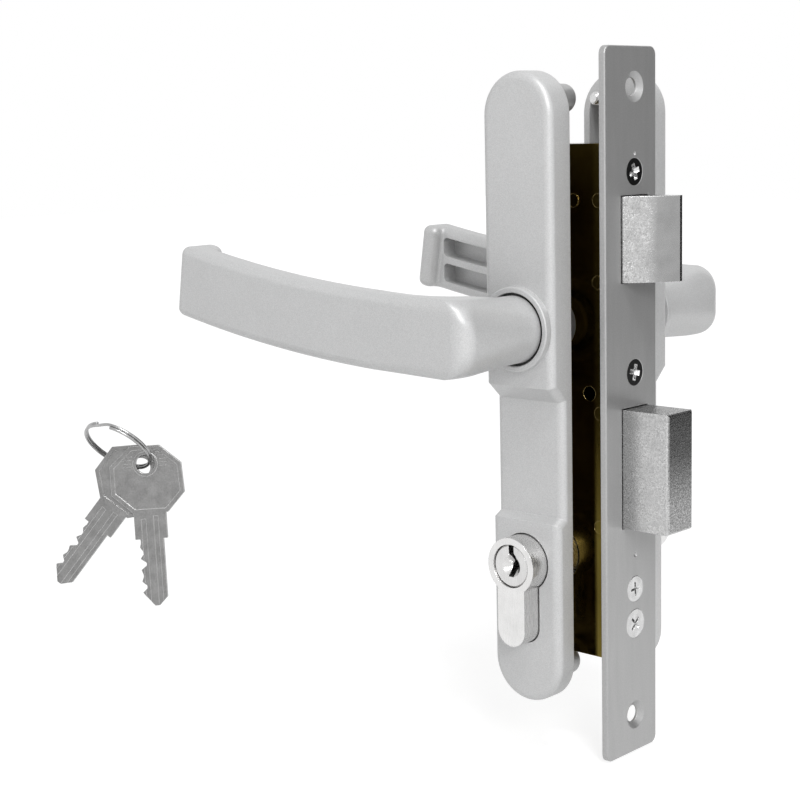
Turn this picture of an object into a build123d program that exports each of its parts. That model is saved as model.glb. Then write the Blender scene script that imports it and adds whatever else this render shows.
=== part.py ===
# Narrow mortice lock set: case with latch and deadbolt, two lever plates,
# profile cylinder, and two keys on a split ring.
# Units are millimetres. X = 0 is the faceplate's outer face, +X out of the
# door's edge. Y = 0 is the middle of the bolts, -Y the outside of the door.
# Z = 0 is midway between the faceplate's fixing holes, +Z up.
import os
from math import cos, radians, sin, sqrt

from build123d import *

# Door and faceplate
DOOR_OUT = -16.0
DOOR_IN = 24.0
INSIDE_SHIFT = DOOR_IN + DOOR_OUT
FACE_H = 210.0
FACE_T = 2.0
FACE_LEFT = -14.25
FACE_RIGHT = 10.75
FACE_CORNER = 2.5
FIX_PITCH = 187.0
FIX_R = 2.6
FIX_HEAD_R = 4.4
FIX_SUNK = 1.3
SCREW_R = 2.0
SCREW_HEAD_R = 4.05
SCREW_LEN = 10.0
UPPER_SCREW_Z = (69.4, 11.1)
LOWER_SCREW_Z = -54.3
FACE_SCREW_Z = (*UPPER_SCREW_Z, LOWER_SCREW_Z)
PUNCH_MARKS = ((-43.8, 0.9), (74.6, 0.6))

# Lock case
CASE_BACK = -43.0
CASE_HALF_T = 8.0
SHEET = 1.2
CASE_TOP = 77.7
CASE_BOTTOM = -75.0
LUG_DEPTH = 9.0
LUG_HALF = 4.0
PILLAR_R = 2.5
PILLARS = ((-38.2, 70.0), (-36.45, 10.0), (-38.2, -40.0), (-38.2, -69.0))
SPOT_R = 2.15
SPOTS = ((-7.0, 61.5), (-7.2, 37.8), (-6.7, -0.8), (-6.9, -35.0), (-15.9, 61.4))
SIGHT_HOLE = (-10.6, 4.9, 2.2)

# Spindle and handle drive
AXIS_X = -23.5
SPINDLE_Z = 25.0
SQUARE = 8.0
HUB_JOURNAL_R = 8.0
HUB_R = 11.5
HUB_HALF_T = 3.2
HUB_SHOULDER_R = 8.6
ARM_REACH = 18.4
ARM_TIP_R = 3.0
ARM_GAP = 0.6
HUB_SPRING_R = 9.9
HUB_SPRING_WIRE_R = 0.5
HUB_SPRING_TURNS = 1.5

# Latch
LATCH_T = 13.0
LATCH_LOW = 37.85
LATCH_HIGH = 62.55
LATCH_OUT = 12.0
LATCH_BEVEL_START = 0.6
LATCH_NOSE = 1.15
LATCH_BULGE = 0.7
LATCH_HEAD_BACK = -10.0
LATCH_SPRING_TURNS = 7.0
TAIL_HALF_T = 3.0
LATCH_PIN_Z = 57.6
LATCH_PIN_R = 1.5

# Deadbolt and cam
BOLT_T = 12.6
BOLT_LOW = -34.7
BOLT_HIGH = 0.7
BOLT_OUT = 16.0
BOLT_HEAD_BACK = -8.0
BOLT_TAIL_BACK = -25.0
BOLT_OPENINGS = (
    (LATCH_LOW, LATCH_HIGH, LATCH_T),
    (BOLT_LOW, BOLT_HIGH, BOLT_T),
)
CYL_Z = -45.0
CAM_R = 15.3
CAM_TURN = 63.0
CAM_RING_R = 7.8
CAM_HALF_T = 4.7

# Profile cylinder
CYL_OUT = -30.0
CYL_IN = 40.0
CYL_HEAD_R = 8.5
CYL_STEM_W = 10.0
CYL_TALL = 33.0
CAM_GAP = 5.0
PLUG_R = 6.5
CLUTCH_R = 4.0
CYL_SCREW_DROP = 20.0
CYL_SCREW_R = 2.5
CYL_SCREW_HEAD_R = 4.55

# Lever plates
PLATE_W = 25.0
PLATE_TALL = 187.0
PLATE_MID_Z = 5.3
PLATE_T_UP = 9.3
PLATE_T_MID = 4.4
PLATE_T_LOW = 7.2
PLATE_STEP_LOW_Z = (-32.3, -30.8)
PLATE_STEP_UP_Z = (3.5, 8.0)
PLATE_ROUND = 2.4
PLATE_RIM = 2.1
PLATE_SKIN = 2.2
PLATE_END_SOLID = 9.3
FIX_FROM_MID = 85.5
POST_R = 4.3
POST_DOME = 2.0
POST_ROOT = 3.0
POST_REACH = 15.2
THROUGH_SCREW_END = 12.0
THROUGH_HEAD_R = 3.9
THROUGH_HEAD_T = 2.2
BUSH_BORE_R = 7.55
BUSH_R = 9.0
BUSH_FLANGE_R = 10.5
BUSH_FLANGE_T = 1.2
RING_IN_R = 10.7
RING_OUT_R = 12.4
RING_H = 2.2
CLIP_R = 9.4
CLIP_T = 1.0
CLIP_RECESS = 0.6

# Levers
NECK_R = 9.9
NECK_ROUND_Y = 34.0
LEVER_FRONT = 60.0
LEVER_TIP_X = -134.7
TIP_LEAN = 3.6
TIP_CORNER_R = 3.0
GRIP_T = 9.7
GRIP_H = 22.4
GRIP_ARC_R = 525.0
GRIP_RISE = 0.4
GRIP_EDGE_R = 2.6
GRIP_START_X = -50.0
ELBOW_R = 5.5
ELBOW_IN_R = 12.0
ELBOW_STEPS = 4
ELBOW_SWELL = 0.75
SHOULDER_R = 4.2
SEAM = 0.02
LIP_T = 7.0
LIP_IN_R = 1.0
LIP_DEPTH = 13.9
POCKET_SKIN = 3.2
POCKET_RIB = 2.5
POCKET_TALL = 6.65
POCKET_CORNER_R = 1.6
SPINDLE_STOP = 14.0
GRUB_Y = -31.0
GRUB_R = 2.45
GRUB_SUNK = 0.6

# Clearances
RUN = 0.05
FREE = 0.3

# Keys and ring
KEY_T = 2.0
KEY_HOLE_R = 3.0
KEY_GAP = 0.5
KEY_PRESS = 0.25
KEY_RIM = 1.3
KEY_GROOVE_W = 1.5
KEY_END = -45.5
RING_R = 11.05
WIRE_R = 0.52
RING_TURN = 25.4
RING_TILT = 60.0
RING_HANG = -18.6
HANG_POINT = Vector(-134.3, -75.8, -20.2)

# Directions of the photograph: across it, up it, and away from the viewer
ACROSS = Vector(0.7300, 0.6830, -0.0242)
UPWARD = Vector(-0.0917, 0.1330, 0.9869)
VIEW = Vector(-0.6772, 0.7182, -0.1597)


def box(x0, x1, y0, y1, z0, z1):
    """Block between opposite corners."""
    middle = Pos((x0 + x1) / 2, (y0 + y1) / 2, (z0 + z1) / 2)
    return middle * Box(abs(x1 - x0), abs(y1 - y0), abs(z1 - z0))


def rod_y(x, z, r, y0, y1):
    """Round bar along Y."""
    return Pos(x, (y0 + y1) / 2, z) * Rot(90, 0, 0) * Cylinder(r, abs(y1 - y0))


def rod_x(y, z, r, x0, x1):
    """Round bar along X."""
    return Pos((x0 + x1) / 2, y, z) * Rot(0, 90, 0) * Cylinder(r, abs(x1 - x0))


def rod_z(x, y, r, z0, z1):
    """Round bar along Z."""
    return Pos(x, y, (z0 + z1) / 2) * Cylinder(r, abs(z1 - z0))


def slab(sketch, y0, y1):
    """Sketch drawn in X and Z, given thickness from y0 to y1."""
    high = max(y0, y1)
    return extrude(Plane.XZ.offset(-high) * sketch, amount=abs(y1 - y0))


def plan(sketch, z0, z1):
    """Sketch drawn in X and Y, given height from z0 to z1."""
    return extrude(Plane.XY.offset(z0) * sketch, amount=z1 - z0)


def polygon(points):
    """Face inside straight lines through the points."""
    return make_face(Polyline(*points, close=True))


def countersink(y, z, hole_r, head_r, depth, sunk):
    """Tool for a countersunk hole through the faceplate."""
    cone = Pos(-sunk / 2, y, z) * Rot(0, 90, 0) * Cone(hole_r, head_r, sunk)
    return rod_x(y, z, hole_r, 0, -depth) + cone


def profile(grow=0.0):
    """Outline of the profile cylinder, grown by a clearance."""
    head = Pos(AXIS_X, CYL_Z) * Circle(CYL_HEAD_R + grow)
    foot_r = CYL_STEM_W / 2
    foot_z = CYL_Z + CYL_HEAD_R - CYL_TALL + foot_r
    foot = Pos(AXIS_X, foot_z) * Circle(foot_r + grow)
    stem_h = CYL_Z - foot_z
    stem = Pos(AXIS_X, foot_z + stem_h / 2) * Rectangle(CYL_STEM_W + 2 * grow, stem_h)
    return head + stem + foot


# Faceplate and its screws
def faceplate():
    half = FACE_H / 2
    plate = box(-FACE_T, 0, FACE_LEFT, FACE_RIGHT, -half, half)
    plate = fillet(plate.edges().filter_by(Axis.X), FACE_CORNER)
    plate = fillet(plate.faces().sort_by(Axis.X)[-1].edges(), 0.5)
    for side in (-1, 1):
        plate -= countersink(0, side * FIX_PITCH / 2, FIX_R, FIX_HEAD_R, FACE_T, FIX_SUNK)
    seats = [(z, SCREW_R + RUN, SCREW_HEAD_R) for z in FACE_SCREW_Z]
    seats.append((CYL_Z - CYL_SCREW_DROP, CYL_SCREW_R + RUN, CYL_SCREW_HEAD_R))
    for z, hole_r, head_r in seats:
        plate -= countersink(0, z, hole_r, head_r, FACE_T, head_r - hole_r)
    for low, high, thick in BOLT_OPENINGS:
        gap = thick / 2 + FREE
        plate -= box(-FACE_T, 0, -gap, gap, low - FREE, high + FREE)
    for z, r in PUNCH_MARKS:
        plate -= Pos(r * 0.4, 0, z) * Sphere(r)
    return plate


def flat_head_screw(y, z, shank_r, head_r, length):
    """Countersunk screw along X with a cross recess in its head."""
    cone_h = head_r - shank_r - RUN
    cone = Pos(-cone_h / 2, y, z) * Rot(0, 90, 0)
    screw = cone * Cone(shank_r, head_r - RUN, cone_h)
    screw += rod_x(y, z, shank_r, -cone_h / 2, -length)
    screw = Part() + screw
    arm = head_r * 1.1
    depth = cone_h * 0.7
    screw -= box(-depth, 0.1, y - arm / 2, y + arm / 2, z - 0.45, z + 0.45)
    screw -= box(-depth, 0.1, y - 0.45, y + 0.45, z - arm / 2, z + arm / 2)
    return screw


def upper_face_screws():
    return [flat_head_screw(0, z, SCREW_R, SCREW_HEAD_R, SCREW_LEN) for z in UPPER_SCREW_Z]


def lower_face_screw():
    return flat_head_screw(0, LOWER_SCREW_Z, SCREW_R, SCREW_HEAD_R, SCREW_LEN)


def cylinder_screw():
    z = CYL_Z - CYL_SCREW_DROP
    end = -(AXIS_X - 4)
    return flat_head_screw(0, z, CYL_SCREW_R, CYL_SCREW_HEAD_R, end)


# Lock case
def case_holes(y0, y1):
    """Tools for the openings that both sides of the case share."""
    tool = rod_y(AXIS_X, SPINDLE_Z, HUB_JOURNAL_R + RUN, y0, y1)
    tool += slab(profile(FREE), y0, y1)
    for x, z in PILLARS:
        tool += rod_y(x, z, PILLAR_R * 0.64 + RUN, y0, y1)
    return tool


def case_body():
    inner = CASE_HALF_T - SHEET
    shell = box(CASE_BACK, -FACE_T, -inner, CASE_HALF_T, CASE_BOTTOM, CASE_TOP)
    shell = fillet(shell.edges().filter_by(Axis.Y).group_by(Axis.X)[0], 1.5)
    shell -= box(
        CASE_BACK + SHEET, -FACE_T - SHEET, -inner, inner,
        CASE_BOTTOM + SHEET, CASE_TOP - SHEET,
    )
    for z in FACE_SCREW_Z:
        shell += box(
            -FACE_T - LUG_DEPTH, -FACE_T, -inner, inner, z - LUG_HALF, z + LUG_HALF,
        )
        shell -= rod_x(0, z, SCREW_R + RUN, -FACE_T - LUG_DEPTH, -FACE_T)
    for low, high, thick in BOLT_OPENINGS:
        gap = thick / 2 + FREE
        shell -= box(-FACE_T - SHEET, -FACE_T, -gap, gap, low - FREE, high + FREE)
    screw_z = CYL_Z - CYL_SCREW_DROP
    shell -= rod_x(0, screw_z, CYL_SCREW_R + FREE, -FACE_T - SHEET, -FACE_T)
    shell -= rod_x(0, LATCH_PIN_Z, LATCH_PIN_R, CASE_BACK, CASE_BACK + SHEET)
    shell -= case_holes(inner, CASE_HALF_T)
    return shell


def case_cover():
    inner = CASE_HALF_T - SHEET
    cover = box(CASE_BACK, -FACE_T, -CASE_HALF_T, -inner, CASE_BOTTOM, CASE_TOP)
    cover = fillet(cover.edges().filter_by(Axis.Y).group_by(Axis.X)[0], 1.5)
    cover -= case_holes(-CASE_HALF_T, -inner)
    x, z, r = SIGHT_HOLE
    cover -= rod_y(x, z, r, -CASE_HALF_T, -inner)
    for x, z in SPOTS:
        cover -= rod_y(x, z, SPOT_R * 0.6, -CASE_HALF_T, -CASE_HALF_T + SHEET / 2)
    return cover


def case_pillars():
    """Riveted spacers that tie the cover to the case body."""
    inner = CASE_HALF_T - SHEET
    made = []
    for x, z in PILLARS:
        pin = rod_y(x, z, PILLAR_R, -inner, inner)
        pin += rod_y(x, z, PILLAR_R * 0.64, -CASE_HALF_T, CASE_HALF_T)
        for side in (-1, 1):
            low = side * CASE_HALF_T
            pin += rod_y(x, z, PILLAR_R * 0.95, low, low + side * 0.6)
        made.append(pin)
    return made


def cover_rivets():
    """Small rivets in the cover beside the two bolts."""
    made = []
    for x, z in SPOTS:
        head = rod_y(x, z, SPOT_R, -CASE_HALF_T - 0.35, -CASE_HALF_T)
        head = chamfer(head.faces().sort_by(Axis.Y)[0].edges(), 0.2)
        made.append(head + rod_y(x, z, SPOT_R * 0.6, -CASE_HALF_T, -CASE_HALF_T + SHEET / 2))
    return made


# Handle drive inside the case
def follower():
    hub = rod_y(AXIS_X, SPINDLE_Z, HUB_JOURNAL_R, -CASE_HALF_T + 0.1, CASE_HALF_T - 0.1)
    side = CASE_HALF_T - SHEET - 2 * FREE
    hub += rod_y(AXIS_X, SPINDLE_Z, HUB_SHOULDER_R, -side, side)
    hub += rod_y(AXIS_X, SPINDLE_Z, HUB_R, -HUB_HALF_T, HUB_HALF_T)
    tip_z = SPINDLE_Z + ARM_REACH
    hub += rod_y(AXIS_X, tip_z, ARM_TIP_R, -TAIL_HALF_T, TAIL_HALF_T)
    hub += box(
        AXIS_X - ARM_TIP_R, AXIS_X + ARM_TIP_R, -TAIL_HALF_T, TAIL_HALF_T, SPINDLE_Z, tip_z,
    )
    half = SQUARE / 2 + RUN
    hub -= box(
        AXIS_X - half, AXIS_X + half, -CASE_HALF_T, CASE_HALF_T,
        SPINDLE_Z - half, SPINDLE_Z + half,
    )
    hub -= rod_y(AXIS_X + HUB_SPRING_R, SPINDLE_Z, HUB_SPRING_WIRE_R + RUN, 0.8, HUB_HALF_T)
    return hub


def handle_spring():
    """Torsion spring round the hub: one end in the hub, one on a case pillar."""
    pitch = 2 * HUB_SPRING_WIRE_R + RUN
    coil = Pos(AXIS_X, HUB_HALF_T + 1.0, SPINDLE_Z) * Rot(-90, 0, 0) * Helix(
        pitch, pitch * HUB_SPRING_TURNS, HUB_SPRING_R
    )
    start = coil @ 0
    end = coil @ 1
    section = Plane(origin=start, z_dir=coil % 0) * RegularPolygon(HUB_SPRING_WIRE_R, 8)
    wire = sweep(section, path=coil)
    hook_end = start.Y + HUB_SPRING_WIRE_R * 0.8
    hook = rod_y(start.X, start.Z, HUB_SPRING_WIRE_R, 1.0, hook_end)
    below_pillar = PILLARS[1][1] - 2
    leg = rod_z(end.X, end.Y, HUB_SPRING_WIRE_R, below_pillar, end.Z)
    return wire + hook + leg


def square_bar(y0, y1, grow=0.0):
    half = SQUARE / 2 + grow
    return box(AXIS_X - half, AXIS_X + half, y0, y1, SPINDLE_Z - half, SPINDLE_Z + half)


def spindle():
    end = LEVER_FRONT - SPINDLE_STOP - 0.5
    bar = square_bar(-end, INSIDE_SHIFT + end)
    return chamfer(bar.edges().filter_by(Axis.Y), 0.5)


# Latch and deadbolt
def latch_plan():
    """Latch head seen from above: slightly crowned bevel, then a narrow flat nose."""
    half = LATCH_T / 2
    back = LATCH_HEAD_BACK
    heel = (LATCH_BEVEL_START, -half)
    nose = (LATCH_OUT, half - LATCH_NOSE)
    reach = sqrt((nose[0] - heel[0]) ** 2 + (nose[1] - heel[1]) ** 2)
    out_x = (nose[1] - heel[1]) / reach * LATCH_BULGE
    out_y = (heel[0] - nose[0]) / reach * LATCH_BULGE
    crown = ((heel[0] + nose[0]) / 2 + out_x, (heel[1] + nose[1]) / 2 + out_y)
    with BuildSketch() as head_plan:
        with BuildLine():
            Polyline((LATCH_OUT, nose[1]), (LATCH_OUT, half), (back, half), (back, -half), heel)
            ThreePointArc(heel, crown, nose)
        make_face()
    return head_plan.sketch


def latch_bolt():
    back = LATCH_HEAD_BACK
    bolt = plan(latch_plan(), LATCH_LOW, LATCH_HIGH)
    finger_front = AXIS_X - ARM_TIP_R - ARM_GAP
    finger_back = finger_front - 2.2
    bar_low = SPINDLE_Z + ARM_REACH + ARM_TIP_R + ARM_GAP
    bolt += box(finger_back, back, -TAIL_HALF_T, TAIL_HALF_T, bar_low, bar_low + 5.2)
    finger_low = SPINDLE_Z + HUB_R + 0.7
    bolt += box(
        finger_back, finger_front, -TAIL_HALF_T, TAIL_HALF_T, finger_low, bar_low,
    )
    bolt -= rod_x(0, LATCH_PIN_Z, LATCH_PIN_R + FREE, back, 1.0)
    return bolt


def latch_spring_pin():
    pin = rod_x(0, LATCH_PIN_Z, LATCH_PIN_R, CASE_BACK, -12.0)
    return chamfer(pin.faces().sort_by(Axis.X)[-1].edges(), 0.4)


def latch_spring():
    """Compression spring behind the latch, round its pin."""
    front = LATCH_HEAD_BACK - 0.55
    back = CASE_BACK + SHEET + 0.55
    length = front - back
    coil = Pos(back, 0, LATCH_PIN_Z) * Rot(0, 90, 0) * Helix(
        length / LATCH_SPRING_TURNS, length, 2.45
    )
    section = Plane(origin=coil @ 0, z_dir=coil % 0) * RegularPolygon(0.5, 6)
    return sweep(section, path=coil)


def deadbolt():
    half = BOLT_T / 2
    bolt = box(BOLT_HEAD_BACK, BOLT_OUT, -half, half, BOLT_LOW, BOLT_HIGH)
    bolt = chamfer(bolt.faces().sort_by(Axis.X)[-1].edges(), 0.6)
    bolt += box(BOLT_TAIL_BACK, BOLT_HEAD_BACK, -4.5, 4.5, BOLT_LOW, BOLT_HIGH - 5)
    notch_x = AXIS_X + CAM_R * sin(radians(CAM_TURN / 2))
    top = CYL_Z + CAM_R + 0.5
    notch = polygon((
        (notch_x - 4.9, BOLT_LOW), (notch_x - 2.4, top),
        (notch_x + 2.4, top), (notch_x + 4.9, BOLT_LOW),
    ))
    return bolt - slab(notch, -half, half)


# Profile cylinder
def cylinder_body():
    body = slab(profile(), CYL_OUT, CYL_IN)
    body -= box(
        AXIS_X - 10, AXIS_X + 10, -CAM_GAP, CAM_GAP,
        CYL_Z - CAM_RING_R - 0.6, CYL_Z + CYL_HEAD_R + 1,
    )
    body -= rod_y(AXIS_X, CYL_Z, PLUG_R + RUN, CYL_OUT, CYL_IN)
    screw_z = CYL_Z - CYL_SCREW_DROP
    body -= rod_x(0, screw_z, CYL_SCREW_R + RUN, AXIS_X - 6, AXIS_X + 6)
    return body


def keyway(y0, y1):
    """Stepped slot for the key, drawn from the plug's rim to below its axis."""
    top = CYL_Z + PLUG_R
    x = AXIS_X
    slot = polygon((
        (x - 0.5, top), (x + 0.9, top), (x + 0.9, top - 2.6), (x + 1.5, top - 3.4),
        (x + 1.5, top - 5.6), (x + 0.6, top - 6.4), (x + 0.6, top - 9.8),
        (x - 0.8, top - 9.8), (x - 0.8, top - 6.2), (x + 0.1, top - 5.2),
        (x + 0.1, top - 3.6), (x - 0.5, top - 2.8),
    ))
    return slab(slot, y0, y1)


def plug(face_y, inner_y):
    """Turning core of the cylinder from its face to the cam."""
    side = 1 if inner_y > face_y else -1
    core = rod_y(AXIS_X, CYL_Z, PLUG_R, face_y, inner_y)
    core -= keyway(face_y, inner_y - side * 5.5)
    core -= Pos(AXIS_X, face_y, CYL_Z + 1.2) * scale(Sphere(4.6), by=(0.55, 0.16, 1))
    core -= box(
        AXIS_X - 1.25, AXIS_X + 1.25, inner_y - side * 3, inner_y, CYL_Z - 7, CYL_Z + 7,
    )
    return core


def outside_plug():
    return plug(CYL_OUT, -CAM_GAP - FREE)


def inside_plug():
    return plug(CYL_IN, CAM_GAP + FREE)


def cam():
    lean = Pos(AXIS_X, 0, CYL_Z) * Rot(0, CAM_TURN / 2, 0)
    ring = Rot(90, 0, 0) * Cylinder(CAM_RING_R, 2 * CAM_HALF_T)
    tip_r = 1.9
    tip_mid = CAM_R - tip_r
    finger = polygon((
        (-3.8, 4.0), (-3.3, 8.0), (-tip_r, tip_mid), (tip_r, tip_mid), (3.3, 8.0), (3.8, 4.0),
    )) + Pos(0, tip_mid) * Circle(tip_r)
    made = lean * (ring + slab(finger, -CAM_HALF_T, CAM_HALF_T))
    return made - rod_y(AXIS_X, CYL_Z, CLUTCH_R + RUN, -CAM_HALF_T, CAM_HALF_T)


def clutch():
    """Coupler through the cam with a tongue in each plug."""
    core = rod_y(AXIS_X, CYL_Z, CLUTCH_R, -CAM_HALF_T, CAM_HALF_T)
    reach = CAM_GAP + FREE + 2.7
    return core + box(AXIS_X - 1.2, AXIS_X + 1.2, -reach, reach, CYL_Z - 3.6, CYL_Z + 3.6)


# Lever plates
def plate_outline(inset=0.0):
    return Pos(AXIS_X, PLATE_MID_Z) * SlotOverall(
        PLATE_TALL - 2 * inset, PLATE_W - 2 * inset, rotation=90
    )


def plate_steps(skin, z_low, z_high):
    """Stepped side view, its front face moved back by the skin."""
    up = -(PLATE_T_UP - skin)
    mid = -(PLATE_T_MID - skin)
    low = -(PLATE_T_LOW - skin)
    return polygon((
        (0, z_low), (low, z_low), (low, PLATE_STEP_LOW_Z[0]), (mid, PLATE_STEP_LOW_Z[1]),
        (mid, PLATE_STEP_UP_Z[0]), (up, PLATE_STEP_UP_Z[1]), (up, z_high), (0, z_high),
    ))


def lever_plate():
    """Outside plate with its back on Y = 0, before it is placed."""
    low_z = PLATE_MID_Z - PLATE_TALL / 2
    high_z = PLATE_MID_Z + PLATE_TALL / 2
    left = AXIS_X - PLATE_W / 2
    body = slab(plate_outline(), -PLATE_T_UP, 0)
    body &= extrude(Plane.YZ.offset(left) * plate_steps(0, low_z, high_z), amount=PLATE_W)
    front = body.edges().filter_by(lambda e: e.center().Y < -0.1 and on_outline(e))
    body = fillet(front, PLATE_ROUND)
    inner_steps = plate_steps(PLATE_SKIN, low_z + PLATE_END_SOLID, high_z - PLATE_END_SOLID)
    hollow = slab(plate_outline(PLATE_RIM), -PLATE_T_UP, 0)
    hollow &= extrude(Plane.YZ.offset(left) * inner_steps, amount=PLATE_W)
    hollow -= rod_y(AXIS_X, SPINDLE_Z, RING_OUT_R, -PLATE_T_UP, 0)
    hollow -= slab(profile(2.0), -PLATE_T_UP, 0)
    for _, z in screw_points():
        hollow -= rod_y(AXIS_X, z, POST_R + 2.0, -PLATE_T_UP, 0)
    body -= hollow
    ring = rod_y(AXIS_X, SPINDLE_Z, RING_OUT_R, -PLATE_T_UP - RING_H, -PLATE_T_UP)
    ring -= rod_y(AXIS_X, SPINDLE_Z, RING_IN_R, -PLATE_T_UP - RING_H, -PLATE_T_UP)
    body += chamfer(ring.faces().sort_by(Axis.Y)[0].edges(), 0.25)
    body -= rod_y(AXIS_X, SPINDLE_Z, BUSH_R + RUN, -PLATE_T_UP - 1, 0)
    body -= rod_y(AXIS_X, SPINDLE_Z, CLIP_R + FREE, -CLIP_RECESS, 0)
    body -= slab(profile(FREE), -PLATE_T_UP, 0)
    return body


def on_outline(edge):
    """True for an edge of the front face that lies on the plate's rim."""
    middle = edge @ 0.5
    half = PLATE_W / 2
    straight = PLATE_TALL / 2 - half
    z = middle.Z - PLATE_MID_Z
    over = max(0.0, abs(z) - straight)
    reach = sqrt((middle.X - AXIS_X) ** 2 + over**2)
    return abs(reach - half) < 0.01 and edge.length > 0.5


def screw_points():
    """Y front face and Z of the two fixing points of a lever plate."""
    return (
        (-PLATE_T_UP, PLATE_MID_Z + FIX_FROM_MID),
        (-PLATE_T_LOW, PLATE_MID_Z - FIX_FROM_MID),
    )


def outside_plate():
    plate = lever_plate()
    for _, z in screw_points():
        plate -= rod_y(AXIS_X, z, POST_R, -POST_ROOT, 0)
    return Pos(0, DOOR_OUT, 0) * plate


def to_inside(shape):
    """Mirror an outside piece to the inside of the door."""
    return Pos(0, INSIDE_SHIFT, 0) * mirror(shape, about=Plane.XZ)


def inside_plate():
    plate = lever_plate()
    for front, z in screw_points():
        plate -= rod_y(AXIS_X, z, SCREW_R + FREE, -PLATE_T_UP, 0)
        head = Pos(AXIS_X, front + THROUGH_HEAD_T / 2, z) * Rot(90, 0, 0)
        plate -= head * Cone(SCREW_R + FREE, THROUGH_HEAD_R + FREE, THROUGH_HEAD_T)
    return to_inside(Pos(0, DOOR_OUT, 0) * plate)


def mounting_posts():
    """Domed threaded posts standing in the outside plate's ends."""
    made = []
    end = DOOR_OUT + POST_REACH
    for _, z in screw_points():
        post = rod_y(AXIS_X, z, POST_R, DOOR_OUT - POST_ROOT, end)
        post = fillet(post.faces().sort_by(Axis.Y)[-1].edges(), POST_DOME)
        made.append(post - rod_y(AXIS_X, z, SCREW_R + RUN, DOOR_OUT + 1, end))
    return made


def through_screws():
    """Screws in the inside plate that draw the two plates together."""
    made = []
    for front, z in screw_points():
        face = DOOR_IN - front
        middle = face - THROUGH_HEAD_T / 2
        head = Pos(AXIS_X, middle, z) * Rot(-90, 0, 0)
        screw = head * Cone(SCREW_R, THROUGH_HEAD_R, THROUGH_HEAD_T)
        screw += rod_y(AXIS_X, z, SCREW_R, THROUGH_SCREW_END, middle)
        slot = box(AXIS_X - 3.4, AXIS_X + 3.4, middle, face + 0.1, z - 0.5, z + 0.5)
        made.append(screw - slot)
    return made


def outside_bush():
    """Plastic bearing bush for a lever's neck."""
    front = DOOR_OUT - PLATE_T_UP
    bush = rod_y(AXIS_X, SPINDLE_Z, BUSH_R, front, DOOR_OUT)
    bush += rod_y(AXIS_X, SPINDLE_Z, BUSH_FLANGE_R, front - BUSH_FLANGE_T, front)
    return bush - rod_y(AXIS_X, SPINDLE_Z, BUSH_BORE_R, front - BUSH_FLANGE_T, DOOR_OUT)


# Levers
def arc_z(x, offset):
    """Height of the grip's curve at x, offset from its middle line."""
    radius = GRIP_ARC_R - offset
    centre_z = SPINDLE_Z + GRIP_RISE + GRIP_ARC_R
    return centre_z - sqrt(radius**2 - (x - AXIS_X) ** 2)


def grip_band(x_tip, x_neck, low, high):
    """Curved strip that the grip follows, seen from the front."""
    mid = (x_tip + x_neck) / 2
    with BuildSketch() as strip:
        with BuildLine():
            ThreePointArc(*((x, arc_z(x, low)) for x in (x_tip, mid, x_neck)))
            Line((x_neck, arc_z(x_neck, low)), (x_neck, arc_z(x_neck, high)))
            ThreePointArc(*((x, arc_z(x, high)) for x in (x_neck, mid, x_tip)))
            Line((x_tip, arc_z(x_tip, high)), (x_tip, arc_z(x_tip, low)))
        make_face()
    return strip.sketch


def grip_plan():
    """Grip and returned tip, seen from above."""
    front = -LEVER_FRONT
    back = front + GRIP_T
    lip = front + LIP_DEPTH
    tip = LEVER_TIP_X
    lip_in = tip + LIP_T
    r = TIP_CORNER_R
    start = GRIP_START_X + GRIP_H
    with BuildSketch() as shape:
        with BuildLine():
            Line((start, front), (tip + r, front))
            RadiusArc((tip + r, front), (tip, front + r), r)
            Line((tip, front + r), (tip, lip - r))
            RadiusArc((tip, lip - r), (tip + r, lip), r)
            Line((tip + r, lip), (lip_in - r, lip))
            RadiusArc((lip_in - r, lip), (lip_in, lip - r), r)
            Line((lip_in, lip - r), (lip_in, back + LIP_IN_R))
            RadiusArc((lip_in, back + LIP_IN_R), (lip_in + LIP_IN_R, back), -LIP_IN_R)
            Polyline((lip_in + LIP_IN_R, back), (start, back), (start, front))
        make_face()
    return shape.sketch


def grip():
    """Curved grip with its leaning, returned tip, rounded along every outer edge."""
    half = GRIP_H / 2
    tip_z = arc_z(LEVER_TIP_X, 0)
    slope = TIP_LEAN / GRIP_H
    bar = extrude(Pos(-slope * tip_z, 0) * grip_plan(), amount=2 * tip_z, dir=(slope, 0, 1))
    band = grip_band(LEVER_TIP_X - GRIP_H, GRIP_START_X, -half, half)
    bar &= slab(band, -LEVER_FRONT - 1, -LEVER_FRONT + LIP_DEPTH + 1)
    by_height = bar.faces().sort_by(Axis.Z)
    rims = by_height[0].edges() + by_height[-1].edges()
    bar = fillet(rims.filter_by(lambda e: e.center().X < GRIP_START_X - 0.1), GRIP_EDGE_R)
    pocket_tip = LEVER_TIP_X + LIP_T + POCKET_CORNER_R
    for low in (POCKET_RIB / 2, -POCKET_RIB / 2 - POCKET_TALL):
        pocket = grip_band(pocket_tip, GRIP_START_X, low, low + POCKET_TALL)
        pocket = fillet(pocket.vertices(), POCKET_CORNER_R)
        bar -= slab(pocket, -LEVER_FRONT + POCKET_SKIN, -LEVER_FRONT + GRIP_T)
    return bar


def lever_section(outer, inner, mid_z, tall, corner):
    """Rounded section in the upright plane through two points of the plan."""
    across = Vector(inner[0] - outer[0], inner[1] - outer[1], 0)
    middle = Vector((outer[0] + inner[0]) / 2, (outer[1] + inner[1]) / 2, mid_z)
    frame = Plane(middle, x_dir=across, z_dir=Vector(0, 0, 1).cross(across))
    return (frame * RectangleRounded(across.length, tall, corner)).face()


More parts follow.
